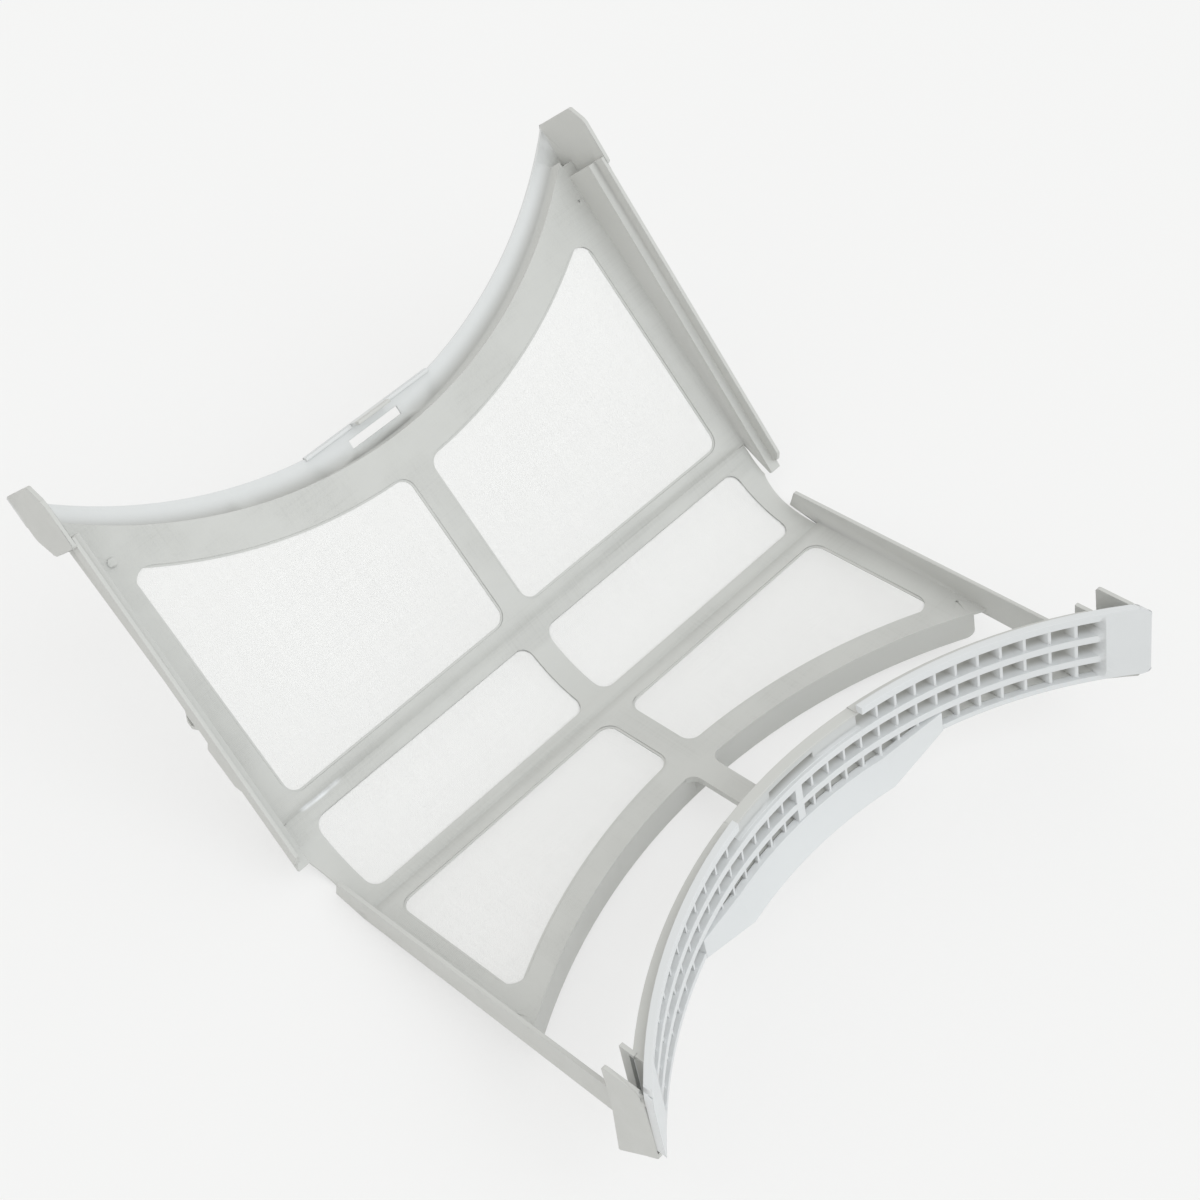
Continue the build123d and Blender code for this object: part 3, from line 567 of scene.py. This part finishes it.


# Grille: a curved fascia with three rows of cells, a latch recess in its rim and a pull handle under
# it. It is a second moulding, in a paler and cooler grey, clipped on the front frame's backing.
# The deeper parts of its cells are painted darker: painted shade.
cell_painted_shade = 0.85
cell_shade_tone = (0.40, 0.40, 0.375, 1.0)
grille_plastic, colour, height = moulded_plastic(
    "grille plastic", (0.665, 0.680, 0.690, 1.0), (0.695, 0.712, 0.722, 1.0)
)
tree = grille_plastic.node_tree
across, along, up = apart(tree, in_half(tree, front_origin, -front_lean))
radius = from_middle(tree, across, along, grille_axis)
# Painted shade: cell floors and walls get darker the deeper they lie behind the front skin, except at the
# back surfaces.
deep = product(tree, soft_step(tree, radius, 0.2163, 0.2206), soft_step(tree, radius, 0.2231, 0.2225))
rows = product(tree, soft_step(tree, up, 0.0050, 0.0060), soft_step(tree, up, 0.0402, 0.0390))
colour = toned(tree, product(tree, deep, rows, cell_painted_shade), colour, cell_shade_tone)
finish_plastic(grille_plastic, colour, height)
grille = moulded_piece("grille_moulding", "grille", "front_half")
grille.data.materials.append(grille_plastic)


# Rear frame: the raised half, with two deep windows, a stepped flange with the latch, and side
# rails with a ledge and a lip. It is moulded like the front frame, in the same grey.
rear_arc_middle = 0.3258
rear_rim = window_rim(
    rear_place, outer_side=0.1365, edge=0.0, arc_middle=rear_arc_middle, arc_radius=0.2455
)
flange_tilt = radians(4.4)
flange_origin = (0, 0.120, -0.01145)
flange_place = rear_place @ Matrix.Translation(flange_origin) @ Matrix.Rotation(flange_tilt, 4, "X")


def small_block(low, high):
    """A small rounded rib between two corners, in the flange's own place."""
    form = bmesh.new()
    low, high = Vector(low), Vector(high)
    place = Matrix.Translation((low + high) / 2) @ Matrix.Diagonal((*(high - low), 1))
    bmesh.ops.create_cube(form, size=1.0, matrix=place)
    round_edges(form, form.edges[:], edge_round, edge_steps, clamp=True)
    return settled(form, flange_place)


latch_lips = small_block((0.0100, -0.0100, -0.0008), (0.0370, -0.0084, 0.0013))
corner_webs = small_block((0.1475, 0.0270, -0.0012), (0.1556, 0.0345, 0.0))


def rear_corner(edge):
    """The plates at the flange's ends have small round corners."""
    spot = across_plate(edge, rear_place, 0.0017, 0.0023)
    if spot and abs(spot.x) > 0.153 and spot.y > 0.118 and sideways(edge):
        return 0.0015
    return 0


rear_frame = moulded_piece(
    "rear_frame_moulding", "rear_frame", "rear_half", rear_corner,
    (rear_rim, latch_lips, corner_webs, pinhole_floor(0.1458, 0.1328, rear_place)),
)
rear_frame.data.materials.append(frame_plastic)


# Hinge strip: the thin band between the halves, with two windows of its own. The same plastic as the
# frames and welded to both; it bends as the filter folds, so it is cut into short lengths. Its sides
# flare towards the rear half, until they run under the rails.
fold_start = Vector((0, -0.0076, 0.0027))
fold_end = Vector((0, 0.0432, 0.0175))
strip_cuts = 24
strip_end = -0.006855
strip_lap = 0.0001
strip_top = 0.0520
strip_under = 0.0535
strip_turn = radians(52.56)
strip_tail = 0.0063
flare_cuts = 18
flare_drop = 0.00001
flare_start = 0.0175
flare_length = 0.0195
flare_end = strip_top * strip_turn + strip_tail
flare_inside = 0.1442
flare_least = 0.0009
flare_most = 0.0029
strip_middle = Matrix.Translation((0, front_seam, strip_top))
strip_sides = bmesh.new()
bmesh.ops.create_cube(strip_sides, size=1.0)
lengths = [e for e in strip_sides.edges if abs(e.verts[0].co.y - e.verts[1].co.y) > 0.5]
bmesh.ops.subdivide_edges(strip_sides, edges=lengths, cuts=flare_cuts)
for corner in strip_sides.verts:
    run = flare_start + (corner.co.y + 0.5) * (flare_end - flare_start)
    turn = min(run / strip_top, strip_turn)
    tail = run - turn * strip_top
    reach = strip_top + flare_drop if corner.co.z > 0 else strip_under - flare_drop
    outward = flare_least + flare_most * min(1.0, (run - flare_start) / flare_length) ** 2
    corner.co = (
        flare_inside + (outward if corner.co.x > 0 else 0.0),
        reach * sin(turn) + tail * cos(turn),
        tail * sin(turn) - reach * cos(turn),
    )
square_edges = [e for e in strip_sides.edges if e.calc_face_angle() > radians(60)]
round_edges(strip_sides, square_edges, edge_round, edge_steps, clamp=True)
settled(strip_sides, front_place @ strip_middle)

hinge_strip = moulded_piece(
    "hinge_strip_moulding", "hinge_strip", None, details=(strip_sides,)
)
form = bmesh.new()
form.from_mesh(hinge_strip.data)
for cut in range(1, strip_cuts):
    bmesh.ops.bisect_plane(
        form, geom=form.verts[:] + form.edges[:] + form.faces[:], dist=0.00001,
        plane_co=fold_start.lerp(fold_end, cut / strip_cuts), plane_no=fold_end - fold_start,
    )
for corner in form.verts:
    if abs((rear_place.inverted() @ corner.co).y - strip_end) < 0.00002:
        corner.co += rear_place.to_3x3() @ Vector((0, strip_lap, 0))
form.to_mesh(hinge_strip.data)
form.free()
hinge_strip.data.materials.append(frame_plastic)
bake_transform(hinge_strip)


# Cloths: fine open plain weave of white polyester yarn, one stretched flat in each half and one that
# bends with the strip. Their edges are held inside the plastic, which was moulded round them.
cloth_depth = -0.00075
cloth_step = 0.006
cloth_arc_steps = 48
yarn_shade = 0.45
streak_shade = 0.5
mesh_cloth = bpy.data.materials.new("mesh cloth")
mesh_cloth.use_nodes = True
tree = mesh_cloth.node_tree
shader = tree.nodes["Principled BSDF"]
shader.inputs["Roughness"].default_value = 0.55
shader.inputs["IOR"].default_value = 1.45
lay = tree.nodes.new("ShaderNodeUVMap")
lay.uv_map = "cloth lay"
yarns = laid_on(tree, weave, {"Place": lay.outputs["UV"], "Yarns per metre": yarns_per_metre})
lines = laid_on(tree, streaks, {"Place": lay.outputs["UV"]})
# Painted shade: yarns are painted darker at their sides and where they dip under each other. The streaks
# are the yarns' own unevenness.
tone = reckon(
    tree, "MULTIPLY_ADD", lines["Streak"], streak_shade, product(tree, yarns["Height"], yarn_shade)
)
tint = toned(tree, tone, (0.80, 0.80, 0.79, 1.0), (0.98, 0.98, 0.97, 1.0))
tree.links.new(tint, shader.inputs["Base Color"])
tree.links.new(yarns["Yarn"], shader.inputs["Alpha"])
bump = tree.nodes.new("ShaderNodeBump")
bump.inputs["Strength"].default_value = 0.5
bump.inputs["Distance"].default_value = 0.0001
tree.links.new(yarns["Height"], bump.inputs["Height"])
tree.links.new(bump.outputs["Normal"], shader.inputs["Normal"])


def cloth_piece(name, form, node):
    """A cloth of one layer; its lay, in metres along warp and weft, was set on the flat cut."""
    for face in form.faces:
        face.smooth = True
    mesh = bpy.data.meshes.new(name)
    form.to_mesh(mesh)
    form.free()
    piece = bpy.data.objects.new(name, mesh)
    bpy.context.scene.collection.objects.link(piece)
    mesh.materials.append(mesh_cloth)
    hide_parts(node)
    return piece


def set_lay(form, along):
    lay = form.loops.layers.uv.new("cloth lay")
    for face in form.faces:
        for loop in face.loops:
            loop[lay].uv = (loop.vert.co.x, along(loop.vert.co))


def flat_cut(half_width, edge, arc_middle, arc_radius):
    """A flat cut with one straight edge and, opposite, an arc; edge and arc are distances along it."""
    form = bmesh.new()
    turn = -1 if arc_middle < edge else 1
    reach = sqrt(arc_radius**2 - half_width**2)
    first = form.verts.new((-half_width, arc_middle - turn * reach, 0))
    sweep = 2 * Vector((0, -turn)).angle(Vector((half_width, -turn * reach)))
    bmesh.ops.spin(
        form, geom=[first], cent=(0, arc_middle, 0), axis=(0, 0, turn), angle=sweep,
        steps=cloth_arc_steps,
    )
    closed_outline(form, first, ((half_width, edge, 0), (-half_width, edge, 0)))
    low = min(v.co.y for v in form.verts)
    high = max(v.co.y for v in form.verts)
    for axis, (start, end) in enumerate(((-half_width, half_width), (low, high))):
        steps = int((end - start) / cloth_step)
        for step in range(1, steps):
            place, normal = Vector(), Vector()
            place[axis] = start + (end - start) * step / steps
            normal[axis] = 1
            bmesh.ops.bisect_plane(
                form, geom=form.verts[:] + form.edges[:] + form.faces[:], dist=0.000001,
                plane_co=place, plane_no=normal,
            )
    set_lay(form, lambda co: co.y)
    bmesh.ops.translate(form, verts=form.verts, vec=(0, 0, cloth_depth))
    return form


form = flat_cut(half_width=0.138, edge=0.003, arc_middle=front_arc_middle, arc_radius=0.272)
bmesh.ops.transform(form, matrix=front_place, verts=form.verts)
front_cloth = cloth_piece("front_cloth", form, "front_mesh")
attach(front_cloth, "front_half")

form = flat_cut(half_width=0.1395, edge=-0.003, arc_middle=rear_arc_middle, arc_radius=0.2425)
bmesh.ops.transform(form, matrix=rear_place, verts=form.verts)
rear_cloth = cloth_piece("rear_cloth", form, "rear_mesh")
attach(rear_cloth, "rear_half")

# The hinge cloth is one piece across the fold, laid round the arc in the middle of the strip.
hinge_half = 0.138
hinge_radius = 0.05275
hinge_start = 0.07115
form = bmesh.new()
first = form.verts.new((-hinge_half, 0, -hinge_radius))
last = form.verts.new((hinge_half, 0, -hinge_radius))
form.edges.new((first, last))
bmesh.ops.subdivide_edges(form, edges=form.edges[:], cuts=45)
bmesh.ops.rotate(form, verts=form.verts, cent=(0, 0, 0), matrix=Matrix.Rotation(hinge_start, 3, "X"))
bmesh.ops.spin(
    form, geom=form.verts[:] + form.edges[:], cent=(0, 0, 0), axis=(1, 0, 0),
    angle=strip_turn - hinge_start, steps=30,
)
set_lay(form, lambda co: -hinge_radius * Vector((0, -1)).angle_signed(Vector((co.y, co.z)), 0))
bmesh.ops.transform(form, matrix=front_place @ strip_middle, verts=form.verts)
hinge_cloth = cloth_piece("hinge_cloth", form, "hinge_mesh")
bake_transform(hinge_cloth)


# Studio: a plain pale table top, an even sky of light and one broad lamp from in front. The camera,
# and what mirrors or lets through, see the table at an even white that keeps the object's shadow.
table_half = 3.0
floor_mesh = bpy.data.meshes.new("table_top")
form = bmesh.new()
bmesh.ops.create_grid(form, x_segments=2, y_segments=2, size=table_half)
form.to_mesh(floor_mesh)
form.free()
floor = bpy.data.objects.new("table_top", floor_mesh)
bpy.context.scene.collection.objects.link(floor)
table_white = bpy.data.materials.new("table white")
table_white.use_nodes = True
tree = table_white.node_tree
table = tree.nodes["Principled BSDF"]
table.inputs["Base Color"].default_value = (0.87, 0.87, 0.865, 1.0)
table.inputs["Roughness"].default_value = 0.7
seen_table = tree.nodes.new("ShaderNodeBsdfPrincipled")
seen_table.inputs["Base Color"].default_value = (0.29, 0.29, 0.29, 1.0)
seen_table.inputs["Roughness"].default_value = 1.0
seen_table.inputs["Specular IOR Level"].default_value = 0.0
seen_table.inputs["Emission Color"].default_value = (1.0, 1.0, 0.995, 1.0)
seen_table.inputs["Emission Strength"].default_value = 0.605
path = tree.nodes.new("ShaderNodeLightPath").outputs
mirrored = reckon(tree, "MAXIMUM", path["Is Glossy Ray"], path["Is Transmission Ray"])
choice = tree.nodes.new("ShaderNodeMixShader")
tree.links.new(reckon(tree, "MAXIMUM", path["Is Camera Ray"], mirrored), choice.inputs[0])
tree.links.new(table.outputs[0], choice.inputs[1])
tree.links.new(seen_table.outputs[0], choice.inputs[2])
tree.links.new(choice.outputs[0], tree.nodes["Material Output"].inputs["Surface"])
floor_mesh.materials.append(table_white)

sky = bpy.data.worlds.new("studio")
bpy.context.scene.world = sky
sky.use_nodes = True
sky_light = sky.node_tree.nodes["Background"].inputs
sky_light["Color"].default_value = (1.0, 0.995, 0.975, 1.0)
sky_light["Strength"].default_value = 0.92
lamp_data = bpy.data.lights.new("broad lamp", "SUN")
lamp_data.energy = 0.7
lamp_data.color = (0.88, 0.95, 1.0)
lamp_data.angle = radians(50)
lamp = bpy.data.objects.new("broad lamp", lamp_data)
bpy.context.scene.collection.objects.link(lamp)
lamp.rotation_euler = Vector((0.15, -0.62, 0.75)).to_track_quat("Z", "Y").to_euler()

camera_data = bpy.data.cameras.new("camera")
camera_data.lens = 69.525
camera_data.sensor_width = 36.0
camera = bpy.data.objects.new("camera", camera_data)
bpy.context.scene.collection.objects.link(camera)
right = Vector((0.68957, -0.72422, 0.0003))
upward = Vector((0.57879, 0.55134, 0.60085))
ahead = Vector((0.43530, 0.41417, -0.79935))
aim = Matrix((right, upward, -ahead)).transposed().to_4x4()
camera.matrix_world = Matrix.Translation((-0.4264, -0.4092, 0.8613)) @ aim
bpy.context.scene.camera = camera
bpy.context.scene.view_settings.view_transform = "Standard"
